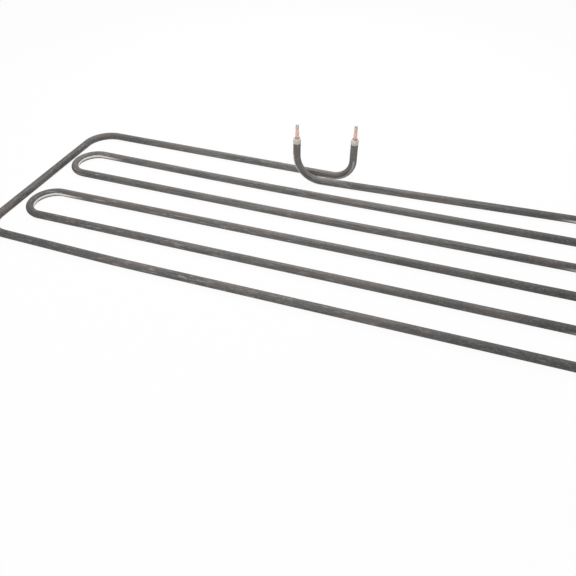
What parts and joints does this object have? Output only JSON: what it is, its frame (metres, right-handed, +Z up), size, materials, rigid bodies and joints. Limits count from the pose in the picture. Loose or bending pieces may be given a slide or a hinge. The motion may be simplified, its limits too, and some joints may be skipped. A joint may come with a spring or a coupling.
{
  "type": "tubular heating element",
  "caption": "Sheathed tubular heating element bent into a flat serpentine mat, with both ends turned up side by side as terminal studs in ceramic bushings.",
  "frame": {"origin": "on the floor, under the middle of the mat's bounding box", "axes": "+X along the runs, away from the joining leg; +Y to the side of the terminals; +Z up, the way the terminals point"},
  "size_m": [0.598, 0.2214, 0.0676],
  "materials": {
    "oxidised_steel": "drawn tube, dark annealed oxide, satin",
    "magnesia": "compacted mineral powder",
    "resistance_wire": "drawn wire",
    "pin_steel": "drawn bar",
    "ceramic": "pale grey glazed ceramic",
    "sealing_compound": "red brown sealing compound",
    "copper": "copper plated, tinned point"
  },
  "bodies": {
    "root": {"sheath_tube": "oxidised_steel", "magnesia_filling": "magnesia", "resistance_coil": "resistance_wire", "cold_pin_left": "pin_steel", "end_bushing_left": "ceramic", "end_seal_left": "sealing_compound", "terminal_stud_left": "copper", "cold_pin_right": "pin_steel", "end_bushing_right": "ceramic", "end_seal_right": "sealing_compound", "terminal_stud_right": "copper"}
  },
  "joints": []
}
